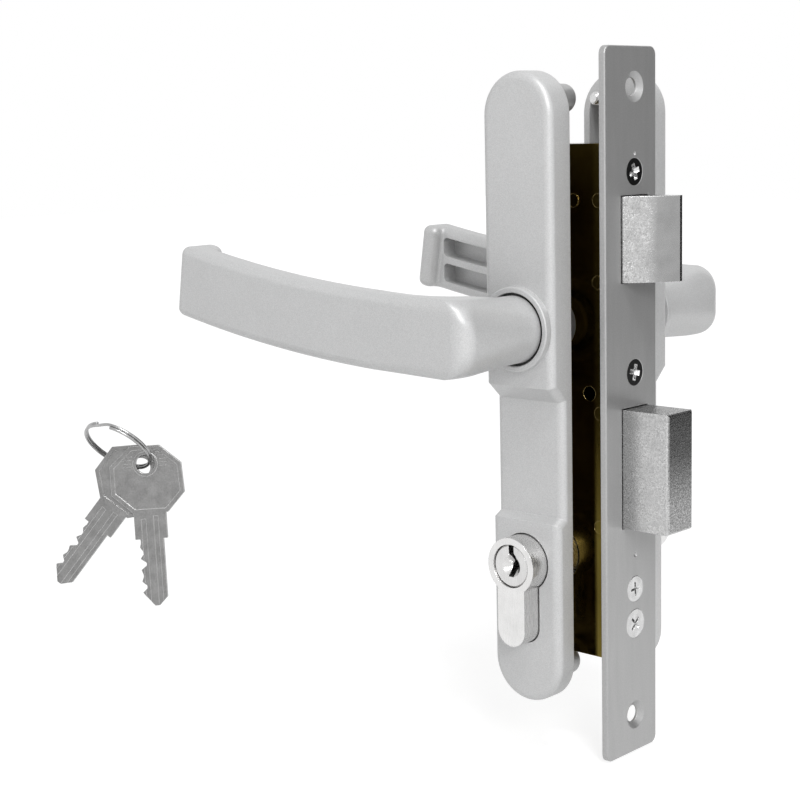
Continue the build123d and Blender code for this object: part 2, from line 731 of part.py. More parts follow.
def elbow():
    """Cast turn from the round neck into the flat grip, as three lofts end to end."""
    neck_out = AXIS_X + NECK_R
    neck_in = AXIS_X - NECK_R
    front = -LEVER_FRONT
    back = front + GRIP_T
    round_r = NECK_R - SEAM
    start = (neck_out, -NECK_ROUND_Y), (neck_in, -NECK_ROUND_Y)
    neck = lever_section(*start, SPINDLE_Z, 2 * NECK_R, round_r)
    turned = []
    for step in range(ELBOW_STEPS + 1):
        share = step / ELBOW_STEPS
        turn = radians(90 * share)
        outer = (neck_out - ELBOW_R * (1 - cos(turn)), front + ELBOW_R * (1 - sin(turn)))
        inner = (neck_in - ELBOW_IN_R * (1 - cos(turn)), back + ELBOW_IN_R * (1 - sin(turn)))
        grown = ELBOW_SWELL + (1 - ELBOW_SWELL) * share
        mid_z = SPINDLE_Z + GRIP_RISE * grown
        tall = 2 * NECK_R + (GRIP_H - 2 * NECK_R) * grown
        corner = round_r + (SHOULDER_R - round_r) * share
        turned.append(lever_section(outer, inner, mid_z, tall, corner))
    low = arc_z(GRIP_START_X, -GRIP_H / 2) + SEAM
    high = arc_z(GRIP_START_X, GRIP_H / 2) - SEAM
    end = (GRIP_START_X, front + SEAM), (GRIP_START_X, back - SEAM)
    flat = lever_section(*end, (low + high) / 2, high - low, GRIP_EDGE_R)
    return loft([neck, turned[0]]) + loft(turned) + loft([turned[-1], flat])


def outside_lever():
    body = grip() + elbow()
    base = DOOR_OUT - PLATE_T_UP - BUSH_FLANGE_T - FREE
    body += rod_y(AXIS_X, SPINDLE_Z, NECK_R, -NECK_ROUND_Y, base)
    journal_end = DOOR_OUT + 3.0
    body += rod_y(AXIS_X, SPINDLE_Z, BUSH_BORE_R - RUN, base, journal_end)
    body -= square_bar(-LEVER_FRONT + SPINDLE_STOP, journal_end, RUN)
    groove = rod_y(AXIS_X, SPINDLE_Z, BUSH_R, *clip_span(RUN))
    groove -= rod_y(AXIS_X, SPINDLE_Z, BUSH_BORE_R - 0.6, *clip_span(RUN))
    body -= groove
    return body - rod_z(AXIS_X, GRUB_Y, GRUB_R + RUN, SPINDLE_Z - NECK_R - 1, SPINDLE_Z - 4)


def clip_span(grow=0.0):
    """Y limits of the circlip behind the outside plate."""
    return DOOR_OUT + FREE - grow, DOOR_OUT + FREE + CLIP_T + grow


def outside_circlip():
    clip = rod_y(AXIS_X, SPINDLE_Z, CLIP_R, *clip_span())
    clip -= rod_y(AXIS_X, SPINDLE_Z, BUSH_BORE_R - 0.55, *clip_span())
    return clip - box(AXIS_X - 2, AXIS_X + 2, *clip_span(), SPINDLE_Z - 12, SPINDLE_Z)


def outside_grub_screw():
    low = SPINDLE_Z - NECK_R + GRUB_SUNK
    screw = rod_z(AXIS_X, GRUB_Y, GRUB_R, low, SPINDLE_Z - SQUARE / 2)
    socket = Pos(AXIS_X, GRUB_Y, low) * extrude(RegularPolygon(1.3, 6), amount=2.5)
    return screw - socket


# Keys on their ring
def key_outline():
    """Key drawn upright round the centre of its hole."""
    bow = polygon((
        (-4.5, 5.8), (4.6, 5.8), (11.3, -0.2), (11.8, -9.6), (6.2, -15.6),
        (-4.6, -15.6), (-11.3, -9.4), (-11.3, -0.2),
    ))
    collar = Pos(0.4, -19.6) * Rectangle(10.2, 8.4)
    bits = [(4.2, -22.0), (4.2, -42.4), (1.6, -45.0), (0.2, -45.0), (-2.4, -42.0)]
    z = -40.6
    for depth in (1.4, 0.5, 1.7, 0.9, 0.3):
        bits += [(-3.4, z), (-3.4 + depth, z + 1.3), (-3.4 + depth, z + 2.1), (-3.4, z + 3.4)]
        z += 3.6
    bits.append((-3.4, -22.0))
    blade = polygon(bits)
    return bow, bow + collar + blade - Circle(KEY_HOLE_R)


def key_solid():
    bow, outline = key_outline()
    half = KEY_T / 2
    key = extrude(Plane.XY.offset(-half) * outline, amount=KEY_T)
    key = Part() + key
    pressed = offset(bow, amount=-KEY_RIM) - Circle(KEY_HOLE_R + 0.9)
    for x, top in ((-1.7, -17.4), (2.2, -16.6)):
        pressed += Pos(x, (top + KEY_END) / 2) * Rectangle(KEY_GROOVE_W, top - KEY_END)
    for level in (-half, half - KEY_PRESS):
        key -= extrude(Plane.XY.offset(level) * pressed, amount=KEY_PRESS)
    return key


def in_view(u, v, w):
    """Offset across, up and away from the photograph's viewpoint."""
    return ACROSS * u + UPWARD * v + VIEW * w


def ring_axes():
    """Long and short directions of the ring as the photograph shows it."""
    turn = radians(RING_TURN)
    tilt = radians(RING_TILT)
    long_way = in_view(cos(turn), -sin(turn), 0)
    short_way = in_view(sin(turn) * cos(tilt), cos(turn) * cos(tilt), -sin(tilt))
    return long_way, short_way


def key_ring():
    """Split ring of two turns of wire that lie on each other."""
    long_way, short_way = ring_axes()
    normal = long_way.cross(short_way)
    hang = radians(RING_HANG)
    centre = HANG_POINT - (long_way * cos(hang) + short_way * sin(hang)) * RING_R
    section = Plane.XZ * Pos(RING_R, 0) * Rot(0, 0, 22.5) * RegularPolygon(WIRE_R, 8)
    lift = WIRE_R * cos(radians(22.5)) - SEAM
    turns = [
        Pos(0, 0, side * lift) * revolve(Rot(0, 0, start) * section, Axis.Z, revolution_arc=354)
        for side, start in ((-1, 111), (1, 153))
    ]
    return Plane(centre, x_dir=long_way, z_dir=normal) * (turns[0] + turns[1])


def hung_key(lean, level, aside, below):
    """Key on the ring's wire, moved away from the viewpoint by its level."""
    long_way, short_way = ring_axes()
    hang = radians(RING_HANG)
    along = short_way * cos(hang) - long_way * sin(hang)
    wire = HANG_POINT + along * (level / along.dot(VIEW))
    up = in_view(sin(radians(lean)), cos(radians(lean)), 0)
    hole = wire - in_view(aside, below, 0)
    return Plane(hole, x_dir=up.cross(VIEW * -1), z_dir=VIEW * -1) * key_solid()


def key_front():
    return hung_key(-4.0, 0.0, 0.53, -0.29)


def key_rear():
    return hung_key(36.5, KEY_T + KEY_GAP, 0.7, 0.0)


NODES = {
    "faceplate": faceplate,
    "upper_face_screws": upper_face_screws,
    "lower_face_screw": lower_face_screw,
    "cylinder_screw": cylinder_screw,
    "case_body": case_body,
    "case_cover": case_cover,
    "case_pillars": case_pillars,
    "cover_rivets": cover_rivets,
    "follower": follower,
    "handle_spring": handle_spring,
    "spindle": spindle,
    "latch_bolt": latch_bolt,
    "latch_spring_pin": latch_spring_pin,
    "latch_spring": latch_spring,
    "deadbolt": deadbolt,
    "cylinder_body": cylinder_body,
    "outside_plug": outside_plug,
    "inside_plug": inside_plug,
    "cam": cam,
    "clutch": clutch,
    "outside_plate": outside_plate,
    "inside_plate": inside_plate,
    "mounting_posts": mounting_posts,
    "through_screws": through_screws,
    "outside_bush": outside_bush,
    "inside_bush": lambda: to_inside(outside_bush()),
    "outside_lever": outside_lever,
    "inside_lever": lambda: to_inside(outside_lever()),
    "outside_circlip": outside_circlip,
    "inside_circlip": lambda: to_inside(outside_circlip()),
    "outside_grub_screw": outside_grub_screw,
    "inside_grub_screw": lambda: to_inside(outside_grub_screw()),
    "key_ring": key_ring,
    "key_front": key_front,
    "key_rear": key_rear,
}

os.makedirs("parts", exist_ok=True)
for name, make in NODES.items():
    made = make()
    solids = made if isinstance(made, list) else [made]
    shape = Compound(children=[Part() + s for s in solids]) if len(solids) > 1 else solids[0]
    export_step(shape, f"parts/{name}.step")
    box_ = shape.bounding_box()
    count = len(shape.solids())
    print(name, count, [round(v, 2) for v in (*box_.min, *box_.max)])
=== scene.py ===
"""Looks of a mortice lock set: finishes, cut threads and recesses, floor, light and camera.

Lengths are metres in the frame's axes, or millimetres where a comment says so. The outside of
the door looks along -Y and its edge along +X.
"""

from math import cos, pi, radians, sin

import bmesh
import bpy
from mathutils import Matrix, Vector


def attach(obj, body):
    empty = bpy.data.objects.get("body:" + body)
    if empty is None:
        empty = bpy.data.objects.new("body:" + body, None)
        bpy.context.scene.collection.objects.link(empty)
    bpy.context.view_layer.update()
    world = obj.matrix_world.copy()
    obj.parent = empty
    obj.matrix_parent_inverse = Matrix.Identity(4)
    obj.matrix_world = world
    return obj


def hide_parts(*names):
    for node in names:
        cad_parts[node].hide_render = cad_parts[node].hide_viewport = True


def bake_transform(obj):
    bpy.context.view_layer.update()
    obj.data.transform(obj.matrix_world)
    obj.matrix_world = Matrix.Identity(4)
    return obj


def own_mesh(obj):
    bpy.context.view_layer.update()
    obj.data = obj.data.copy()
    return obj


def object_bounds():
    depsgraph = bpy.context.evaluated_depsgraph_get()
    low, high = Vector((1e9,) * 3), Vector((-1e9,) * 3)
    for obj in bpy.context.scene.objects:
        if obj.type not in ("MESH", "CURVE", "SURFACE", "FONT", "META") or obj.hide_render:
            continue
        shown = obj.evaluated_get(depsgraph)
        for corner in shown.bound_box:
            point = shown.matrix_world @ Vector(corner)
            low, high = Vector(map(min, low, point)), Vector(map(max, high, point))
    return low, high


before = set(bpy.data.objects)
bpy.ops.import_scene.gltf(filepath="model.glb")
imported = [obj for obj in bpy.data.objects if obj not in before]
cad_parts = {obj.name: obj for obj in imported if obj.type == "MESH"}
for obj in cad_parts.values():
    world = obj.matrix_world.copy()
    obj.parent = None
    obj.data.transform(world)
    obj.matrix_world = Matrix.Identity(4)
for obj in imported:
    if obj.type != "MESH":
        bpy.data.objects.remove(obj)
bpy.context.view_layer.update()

MM = 0.001
WHITE = (1.0, 1.0, 1.0, 1.0)
BLACK = (0.0, 0.0, 0.0, 1.0)

# The photograph's viewpoint
CAMERA_PLACE = Vector((0.28879, -0.40684, 0.08454))
CAMERA_RIGHT = Vector((0.7300, 0.6830, -0.0242))
CAMERA_UP = Vector((-0.0917, 0.1330, 0.9869))
CAMERA_BACK = Vector((0.6772, -0.7182, 0.1597))
CAMERA_LENS = 76.727
CAMERA_SENSOR = 36.0
CAMERA_CLIP = (0.01, 50.0)

# Studio. Over FLOOR_FADE metres from the lock, the floor's glow and paint go from their first
# value to their second. Each lamp has a place, a width and a power.
FLOOR_DROP = 0.6 * MM
FLOOR_SIZE = 6.0
FLOOR_FADE = (0.25, 0.9)
FLOOR_GLOW = (0.78, 1.0)
FLOOR_PAINT = (0.36, 0.02)
FLOOR_SHADE = (0.80, 0.84)
FILL_LEVEL = 0.45
LAMPS = (
    ("overhead_lamp", (0.42, -0.30, 0.98), 0.26, 4.0),
    ("front_lamp", (-0.75, -0.95, 0.45), 0.8, 0.5),
    ("side_lamp", (0.88, -0.66, 0.58), 0.5, 6.2),
)
FLAG_PLACE = (0.205, 0.283, 0.12)
FLAG_SIZE = (0.40, 0.45)

# Spans of grey that noise mostly stays in, and how far a rounded edge's normal leaves the true
# one where edge wear with its painted highlight starts and where it is full
TIGHT_SPAN = (0.3, 0.7)
WIDE_SPAN = (0.25, 0.75)
EDGE_MATCH = (0.99, 0.80)
EDGE_SAMPLES = 6

# Steels: grey level, roughness and metallic share
STEELS = {
    "mechanism_steel": (0.48, 0.34, 1.0),
    "bright_steel": (0.66, 0.24, 1.0),
    "spring_steel": (0.40, 0.24, 1.0),
    "ring_steel": (0.42, 0.20, 1.0),
    "post_steel": (0.46, 0.38, 0.5),
}

# Nickel platings: grey level and roughness
NICKELS = {"satin_nickel": (0.72, 0.26), "plug_nickel": (0.64, 0.24)}

# Yellow platings: width of the edges given wear and painted highlights, widest on the rivets, in
# millimetres
YELLOW_ZINCS = {"yellow_zinc": 0.15, "rivet_zinc": 0.40}

# Cast bolts: greys near the faceplate and further out, where along X one gives way to the
# other, the outer skin's relief, and between which heights painted shade darkens it towards the
# top; in millimetres
CAST_ZINCS = {
    "latch_zinc": ((0.22, 0.78), (0.26, 0.38), (8.0, 5.5), 0.15, None),
    "bolt_zinc": ((0.34, 0.64), (0.16, 0.62), (15.9, 15.6), 1.0, (-26.0, -12.0)),
}
# Share of its grey that the outer skin keeps where its painted shade is full
PAINTED_SHADE_LEVEL = 0.45

# The nodes that have each finish
FINISHED_NODES = {
    "satin_steel": ("faceplate",),
    "black_oxide": ("upper_face_screws", "outside_grub_screw", "inside_grub_screw"),
    "bright_steel": ("lower_face_screw", "cylinder_screw", "through_screws", "key_ring"),
    "yellow_zinc": ("case_body", "case_cover"),
    "rivet_zinc": ("case_pillars", "cover_rivets"),
    "mechanism_steel": ("follower", "spindle", "latch_spring_pin", "cam", "clutch"),
    "spring_steel": ("handle_spring", "latch_spring", "outside_circlip", "inside_circlip"),
    "latch_zinc": ("latch_bolt",),
    "bolt_zinc": ("deadbolt",),
    "satin_nickel": ("cylinder_body",),
    "plug_nickel": ("outside_plug", "inside_plug"),
    "silver_paint": ("outside_plate", "inside_plate", "outside_lever", "inside_lever"),
    "post_steel": ("mounting_posts",),
    "black_nylon": ("outside_bush", "inside_bush"),
    "key_nickel": ("key_front", "key_rear"),
}

# Screws, in millimetres and degrees: pitch and depth of each thread, each cross's reach, half
# width and depth as shares of the head's radius, and each screw's height and turn
THREAD = {2.0: (0.7, 0.38), 2.5: (0.8, 0.44)}
THREAD_SIDES = 28
THREAD_ROWS = 8
THREAD_OVERLAP = 0.05
WIDE_CROSS = (0.62, 0.19, 0.30)
FINE_CROSS = (0.55, 0.09, 0.36)
CROSS_TAPER = 0.55
CROSS_LEAD = 0.1
RECESS_TOP = -0.01
RECESS_SLACK = 0.05
HEAD_BEVEL = (0.2, 0.1)
HEAD_NECK = 0.3
FACE_SCREW_R = 2.0
FACE_HEAD_R = 4.0
FACE_SCREW_LEN = 10.0
FACE_SCREWS = {
    "upper_face_screws": ((69.4, 20), (11.1, -12)),
    "lower_face_screw": ((-54.3, 4),),
}
CYLINDER_SCREW = (-65.0, 45)
CYLINDER_SCREW_R = 2.5
CYLINDER_HEAD_R = 4.5
CYLINDER_SCREW_LEN = 27.5
THROUGH_SCREWS = ((90.8, 33.3), (-80.2, 31.2))
THROUGH_HEAD_R = 3.9
THROUGH_END_Y = 12.0
SPINDLE_X = -23.5
SPINDLE_Z = 25.0

# Split ring, in millimetres and degrees
RING_R = 11.05
WIRE_R = 0.48
WIRE_SIDES = 14
RING_TURN = 25.4
RING_TILT = 60.0
RING_HANG = -18.6
RING_ENDS = (136.0, 828.0)
RING_CROSSING = 26.0
RING_STEP = 2.0
HANG_POINT = Vector((-134.3, -75.8, -20.2))

# Springs inside the case, in millimetres
SPRING_WIRE_R = 0.48
LATCH_SPRING_X = (-41.3, -10.55)
LATCH_SPRING_Z = 57.6
LATCH_SPRING_R = 2.45
LATCH_SPRING_TURNS = 7
LATCH_SPRING_STEPS = 24
HUB_SPRING_R = 9.9
HUB_SPRING_Y = (4.2, 5.775)
HUB_SPRING_TURNS = 1.5
HUB_SPRING_STEPS = 48
HUB_SPRING_HOOK_Y = 1.0
HUB_SPRING_LEG_Z = 8.0

# Keys, in millimetres and degrees: each key's lean, depth behind the front one and offsets of
# its hole, and each rib's height, start and end, with the share of its foot that its top has
KEYS = {"front": (-4.0, 0.0, 0.53, -0.29), "rear": (36.5, 2.5, 0.7, 0.0)}
KEY_FLOOR = 0.74
KEY_RIB_H = 0.16
KEY_RIB_SUNK = 0.05
KEY_RIB_W = 0.32
KEY_RIB_TOP = (0.94, 0.35)
KEY_RIBS = (
    (3.6, 3.4, 5.6),
    (2.5, 3.9, 6.6),
    (1.4, 4.2, 7.2),
    (0.3, 4.3, 7.2),
    (-0.8, 4.2, 7.2),
)

# Cylinder plugs, in millimetres: the height of their axis, and where each starts and ends
CYLINDER_Z = -45.0
PLUG_R = 6.45
PLUG_SIDES = 64
PLUGS = {"outside": (-30.0, -5.3), "inside": (40.0, 5.3)}
PLUG_FACE = ((0.5, -3.3), (3.3, -0.5), (5.7, -0.35), (5.95, -0.35), (PLUG_R, -0.9))
KEYWAY = (
    (-0.9, 6.7), (1.0, 6.7), (1.0, 3.9), (1.8, 3.1), (1.8, 0.9), (0.8, 0.1),
    (0.8, -3.3), (-1.1, -3.3), (-1.1, 0.3), (-0.1, 1.3), (-0.1, 2.9), (-0.9, 3.7),
)
KEYWAY_DEPTHS = (-1.0, 12.0)


class Finish:
    """One procedural material: a Principled shader and the nodes that feed it."""

    def __init__(self, name, metallic, roughness):
        self.material = bpy.data.materials.new(name)
        self.material.use_nodes = True
        self.tree = self.material.node_tree
        self.shader = self.tree.nodes["Principled BSDF"]
        self.shader.inputs["Metallic"].default_value = metallic
        self.shader.inputs["Roughness"].default_value = roughness
        self.place = self.add("ShaderNodeTexCoord").outputs["Object"]
        self.normal = None

    def add(self, kind, settings=(), **inputs):
        """A node with its settings, and each input linked to a socket or set to a value.

        An input goes by its name, or by an underscore and its number.
        """
        node = self.tree.nodes.new(kind)
        for key, value in dict(settings).items():
            setattr(node, key, value)
        for key, value in inputs.items():
            name = int(key[1:]) if key.startswith("_") else key.replace("_", " ")
            socket = node.inputs[name]
            if isinstance(value, bpy.types.NodeSocket):
                self.tree.links.new(value, socket)
            else:
                socket.default_value = value
        return node

    def feed(self, name, value):
        """Links a value to one of the shader's inputs."""
        self.tree.links.new(value, self.shader.inputs[name])

    def axes(self):
        """The object's place along X, Y and Z."""
        return self.add("ShaderNodeSeparateXYZ", Vector=self.place).outputs

    def stretched(self, stretch):
        """The object's place, squeezed along each axis by the given factors."""
        settings = {"operation": "MULTIPLY"}
        return self.add("ShaderNodeVectorMath", settings, _0=self.place, _1=stretch).outputs[0]

    def noise(self, size, detail=3.0, stretch=None):
        """Soft noise whose blotches are about size metres across."""
        place = self.stretched(stretch) if stretch else self.place
        scale = 1 / size
        node = self.add(
            "ShaderNodeTexNoise", Vector=place, Scale=scale, Detail=detail, Roughness=0.55
        )
        return node.outputs["Fac"]

    def grains(self, size):
        """Random grey for each grain about size metres across."""
        node = self.add("ShaderNodeTexVoronoi", Vector=self.place, Scale=1 / size)
        return self.add("ShaderNodeSeparateColor", Color=node.outputs["Color"]).outputs[0]

    def between(self, value, low, high, out_low=0.0, out_high=1.0):
        """The value spread from one range to another, and held inside it."""
        node = self.add("ShaderNodeMapRange", Value=value, From_Min=low, From_Max=high,
                        To_Min=out_low, To_Max=out_high)
        return node.outputs["Result"]

    def blend(self, share, first, second):
        """Colour between two colours."""
        settings = {"data_type": "RGBA"}
        return self.add("ShaderNodeMix", settings, _0=share, _6=first, _7=second).outputs[2]

    def mottle(self, tone, dark, light, span=TIGHT_SPAN):
        """Colour that follows a grey from dark to light."""
        return self.blend(self.between(tone, *span), dark, light)

    def sum(self, first, second, share=0.5):
        """Two greys weighed together."""
        settings = {"data_type": "FLOAT"}
        return self.add("ShaderNodeMix", settings, _0=share, _2=first, _3=second).outputs[0]

    def product(self, first, second):
        """One grey times another."""
        settings = {"operation": "MULTIPLY"}
        return self.add("ShaderNodeMath", settings, _0=first, _1=second).outputs[0]

    def edges(self, radius):
        """Nearly 1 along the sharp edges, and rounds them for the light."""
        node = self.add("ShaderNodeBevel", {"samples": EDGE_SAMPLES}, Radius=radius)
        self.normal = node.outputs["Normal"]
        true = self.add("ShaderNodeNewGeometry").outputs["Normal"]
        settings = {"operation": "DOT_PRODUCT"}
        match = self.add("ShaderNodeVectorMath", settings, _0=self.normal, _1=true)
        return self.between(match.outputs["Value"], *EDGE_MATCH)

    def colour(self, body, wear_and_highlight, wear_and_highlight_colour, share, start=0):
        """Gives the surface its colour, with another along its edges for their wear and painted
        highlight.
        """
        self.feed("Base Color", self.blend(self.between(wear_and_highlight, start, 1, 0, share), body, wear_and_highlight_colour))

    def roughen(self, value, low, high, span=TIGHT_SPAN):
        """Lets the roughness follow a grey."""
        self.feed("Roughness", self.between(value, *span, low, high))

    def relief(self, height, depth):
        """Raises the surface by up to depth metres."""
        node = self.add("ShaderNodeBump", Height=height, Distance=depth, Strength=1.0)
        if self.normal is not None:
            self.tree.links.new(self.normal, node.inputs["Normal"])
        self.normal = node.outputs["Normal"]
        self.feed("Normal", self.normal)


def grey(level, warmth=0.0):
    """Linear grey, a little warm or cool."""
    return (level * (1 + warmth), level, level * (1 - warmth), 1.0)


def silver_paint():
    """Satin metallic paint on the plates and levers: fine flakes and a faint orange peel."""
    made = Finish("silver_paint", 0.25, 0.42)
    wear_and_highlight = made.edges(0.35 * MM)
    flakes = made.grains(0.16 * MM)
    clouds = made.noise(14 * MM, 4)
    tone = made.sum(flakes, clouds, 0.35)
    body = made.mottle(tone, grey(0.52, -0.004), grey(0.62, -0.003), WIDE_SPAN)
    made.colour(body, wear_and_highlight, grey(0.78), 0.5)
    made.roughen(clouds, 0.38, 0.46)
    made.relief(made.sum(made.noise(0.9 * MM, 2), flakes, 0.25), 0.012 * MM)
    return made.material


def satin_steel():
    """Bead-blasted stainless faceplate: a fine pebbled grain with soft clouds."""
    made = Finish("satin_steel", 0.6, 0.40)
    wear_and_highlight = made.edges(0.25 * MM)
    pebbles = made.noise(0.4 * MM, 4)
    rolled = made.noise(2.5 * MM, 3, (1.0, 1.0, 0.12))
    body = made.mottle(made.sum(pebbles, rolled, 0.25), grey(0.36), grey(0.46))
    made.colour(body, wear_and_highlight, grey(0.80), 0.7)
    made.roughen(pebbles, 0.36, 0.46)
    made.relief(pebbles, 0.018 * MM)
    return made.material


def cast_zinc(name, near_greys, far_greys, change, far_relief, painted_shade_heights):
    """Plated cast bolt: glittering mottle near the faceplate, another skin further out, with
    painted shade towards its top where heights are given.
    """
    made = Finish(name, 1.0, 0.3)
    wear_and_highlight = made.edges(0.22 * MM)
    skin = made.noise(0.5 * MM, 6)
    sparkle = made.grains(0.30 * MM)
    clouds = made.noise(6 * MM, 3)
    out, _, height = made.axes()
    near = made.between(out, *(x * MM for x in change))
    glitter = made.sum(skin, sparkle, 0.35)
    calm = made.sum(clouds, skin, 0.3)
    patchy = made.sum(calm, glitter, made.between(clouds, 0.42, 0.56, 0.3, 1.0))
    tone = made.sum(made.sum(calm, glitter, far_relief), patchy, near)
    inner, outer = (
        made.mottle(tone, grey(low), grey(high), WIDE_SPAN) for low, high in (near_greys, far_greys)
    )
    # Painted shade, standing for a dark reflection: between the given heights the outer skin
    # darkens towards the top
    if painted_shade_heights:
        painted_shade_share = made.between(height, *(z * MM for z in painted_shade_heights))
        outer = made.blend(painted_shade_share, outer, made.blend(PAINTED_SHADE_LEVEL, BLACK, outer))
    made.colour(made.blend(near, outer, inner), wear_and_highlight, grey(0.92), 0.8)
    made.roughen(glitter, 0.34, 0.22, (0.2, 0.8))
    rough = made.between(near, 0, 1, far_relief, 1)
    made.relief(made.product(glitter, rough), 0.05 * MM)
    return made.material


def yellow_zinc(name, edge):
    """Yellow-passivated case: a dark glossy skin painting the shade it reflects, and a painted
    yellow reflection low down beside the faceplate.
    """
    made = Finish(name, 1.0, 0.14)
    wear_and_highlight = made.edges(edge * MM)
    drift = made.noise(12 * MM, 3)
    out, _, height = made.axes()
    # Painted reflection: low down beside the faceplate the case turns yellow and less metallic
    beside = made.between(out, -9.3 * MM, -7.9 * MM)
    low = made.between(height, 5 * MM, -40 * MM, 0.12, 0.9)
    painted_reflection = made.product(beside, low)
    drift_and_reflection_share = made.sum(made.between(drift, 0.35, 0.65, 0, 0.3), painted_reflection, 0.7)
    made.feed("Metallic", made.between(painted_reflection, 0, 1, 1, 0.25))
    # The dark body colour is painted shade, standing for the dark that the glossy case reflects
    body = made.blend(drift_and_reflection_share, (0.070, 0.043, 0.009, 1), (0.58, 0.45, 0.10, 1))
    made.colour(body, wear_and_highlight, (0.86, 0.66, 0.26, 1), 0.8)
    made.roughen(made.noise(1.5 * MM, 3), 0.10, 0.18)
    made.relief(made.noise(2.2 * MM, 3), 0.006 * MM)
    return made.material


def satin_nickel(name, level, shine):
    """Brushed nickel plating, with strokes that run along the height."""
    made = Finish(name, 1.0, shine)
    wear_and_highlight = made.edges(0.2 * MM)
    strokes = made.noise(0.3 * MM, 4, (1.0, 1.0, 0.05))
    clouds = made.noise(5 * MM, 3)
    tone = made.sum(strokes, clouds, 0.5)
    body = made.mottle(tone, grey(level * 0.88, 0.006), grey(level * 1.1, 0.006))
    made.colour(body, wear_and_highlight, grey(0.90), 0.7)
    made.roughen(strokes, shine - 0.04, shine + 0.06)
    made.relief(strokes, 0.005 * MM)
    return made.material


def black_oxide():
    """Blackened screw heads, with wear and a painted highlight bright along their edges."""
    made = Finish("black_oxide", 0.9, 0.3)
    wear_and_highlight = made.edges(0.22 * MM)
    grain = made.noise(0.2 * MM, 4)
    made.colour(made.blend(grain, grey(0.02), grey(0.07)), wear_and_highlight, grey(0.7), 0.9, 0.2)
    made.roughen(grain, 0.26, 0.38)
    made.relief(grain, 0.01 * MM)
    return made.material


def machined_steel(name, level, roughness, metallic):
    """Plain machined or plated steel with turning marks and slight stains."""
    made = Finish(name, metallic, roughness)
    wear_and_highlight = made.edges(0.12 * MM)
    marks = made.noise(0.3 * MM, 5)
    stains = made.noise(3 * MM, 4)
    body = made.mottle(stains, grey(level * 0.8), grey(level * 1.08))
    made.colour(body, wear_and_highlight, grey(min(0.92, level * 1.5)), 0.6)
    made.roughen(marks, roughness - 0.06, roughness + 0.08)
    made.relief(marks, 0.008 * MM)
    return made.material


def black_nylon():
    """Moulded bearing bushes."""
    made = Finish("black_nylon", 0.0, 0.5)
    grain = made.noise(0.25 * MM, 3)
    made.feed("Base Color", made.blend(grain, grey(0.006), grey(0.016)))
    made.roughen(grain, 0.5, 0.65)
    made.relief(grain, 0.02 * MM)
    return made.material


def key_nickel():
    """Nickel-plated brass keys, slightly mottled, with wear and a painted highlight bright along
    their edges.
    """
    made = Finish("key_nickel", 1.0, 0.32)
    wear_and_highlight = made.edges(0.24 * MM)
    mottle = made.noise(0.4 * MM, 6)
    clouds = made.noise(3.5 * MM, 3)
    tone = made.sum(mottle, clouds, 0.5)
    made.colour(made.mottle(tone, grey(0.18, 0.006), grey(0.31, 0.006)), wear_and_highlight, grey(0.92), 0.85)
    made.roughen(mottle, 0.28, 0.38)
    made.relief(tone, 0.03 * MM)
    return made.material


def make_finishes():
    """Every finish of the lock and its keys, by name."""
    made = {
        "silver_paint": silver_paint(),
        "satin_steel": satin_steel(),
        "black_oxide": black_oxide(),
        "black_nylon": black_nylon(),
        "key_nickel": key_nickel(),
    }
    made.update({name: machined_steel(name, *look) for name, look in STEELS.items()})
    made.update({name: satin_nickel(name, *look) for name, look in NICKELS.items()})
    made.update({name: yellow_zinc(name, edge) for name, edge in YELLOW_ZINCS.items()})
    made.update({name: cast_zinc(name, *look) for name, look in CAST_ZINCS.items()})
    return made


def finish_nodes(finishes):
    """Gives each carried-over solid the finish of its real piece."""
    for finish, nodes in FINISHED_NODES.items():
        for node in nodes:
            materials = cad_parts[node].data.materials
            materials.clear()
            materials.append(finishes[finish])


def circle(sides):
    """Cosine and sine of each corner of a regular polygon."""
    turns = [2 * pi * side / sides for side in range(sides)]
    return [(cos(turn), sin(turn)) for turn in turns]


def lofted(rings):
    """The closed bmesh through rings of points, with its first and last ring capped."""
    body = bmesh.new()
    rows = [[body.verts.new(point) for point in ring] for ring in rings]
    for upper, lower in zip(rows, rows[1:]):
        for step in range(len(upper)):
            ahead = (step + 1) % len(upper)
            body.faces.new((upper[step], lower[step], lower[ahead], upper[ahead]))
    body.faces.new(rows[0])
    body.faces.new(list(reversed(rows[-1])))
    bmesh.ops.recalc_face_normals(body, faces=body.faces)
    return body


def turned(profile, sides=48):
    """Turned body from rings of radius and height, in millimetres, its top first."""
    corners = circle(sides)
    return lofted([[(r * across, r * along, z) for across, along in corners] for r, z in profile])


def thread(radius, top, bottom):
    """Helical thread between two heights, running out at its tip."""
    pitch, depth = THREAD[radius]
    rows = int((top - bottom) / pitch * THREAD_ROWS)
    rings = []
    for row in range(rows + 1):
        height = top + (bottom - top) * row / rows
        left = min(1.0, (rows - row) / THREAD_ROWS)
        ring = []
        for side, (across, along) in enumerate(circle(THREAD_SIDES)):
            flank = abs(2 * ((height / pitch - side / THREAD_SIDES) % 1) - 1)
            out = radius - depth * (1 - flank * left) - depth * (1 - left)
            ring.append((out * across, out * along, height))
        rings.append(ring)
    return lofted(rings)


def cross_cutter(head_r, cross):
    """Tapered cross that cuts a screw head's drive."""
    reach, half, depth = (share * head_r for share in cross)
    arm = ((reach, -half), (reach, half), (half, half))
    quarters = [Matrix.Rotation(pi / 2 * quarter, 3, "Z") for quarter in range(4)]
    return lofted([
        [turn @ Vector((x * scale, y * scale, height)) for turn in quarters for x, y in arm]
        for height, scale in ((CROSS_LEAD, 1.0), (-depth, CROSS_TAPER))
    ])


def as_object(name, body):
    """The object of a bmesh, which is used up."""
    mesh = bpy.data.meshes.new(name)
    body.to_mesh(mesh)
    body.free()
    made = bpy.data.objects.new(name, mesh)
    bpy.context.scene.collection.objects.link(made)
    return made


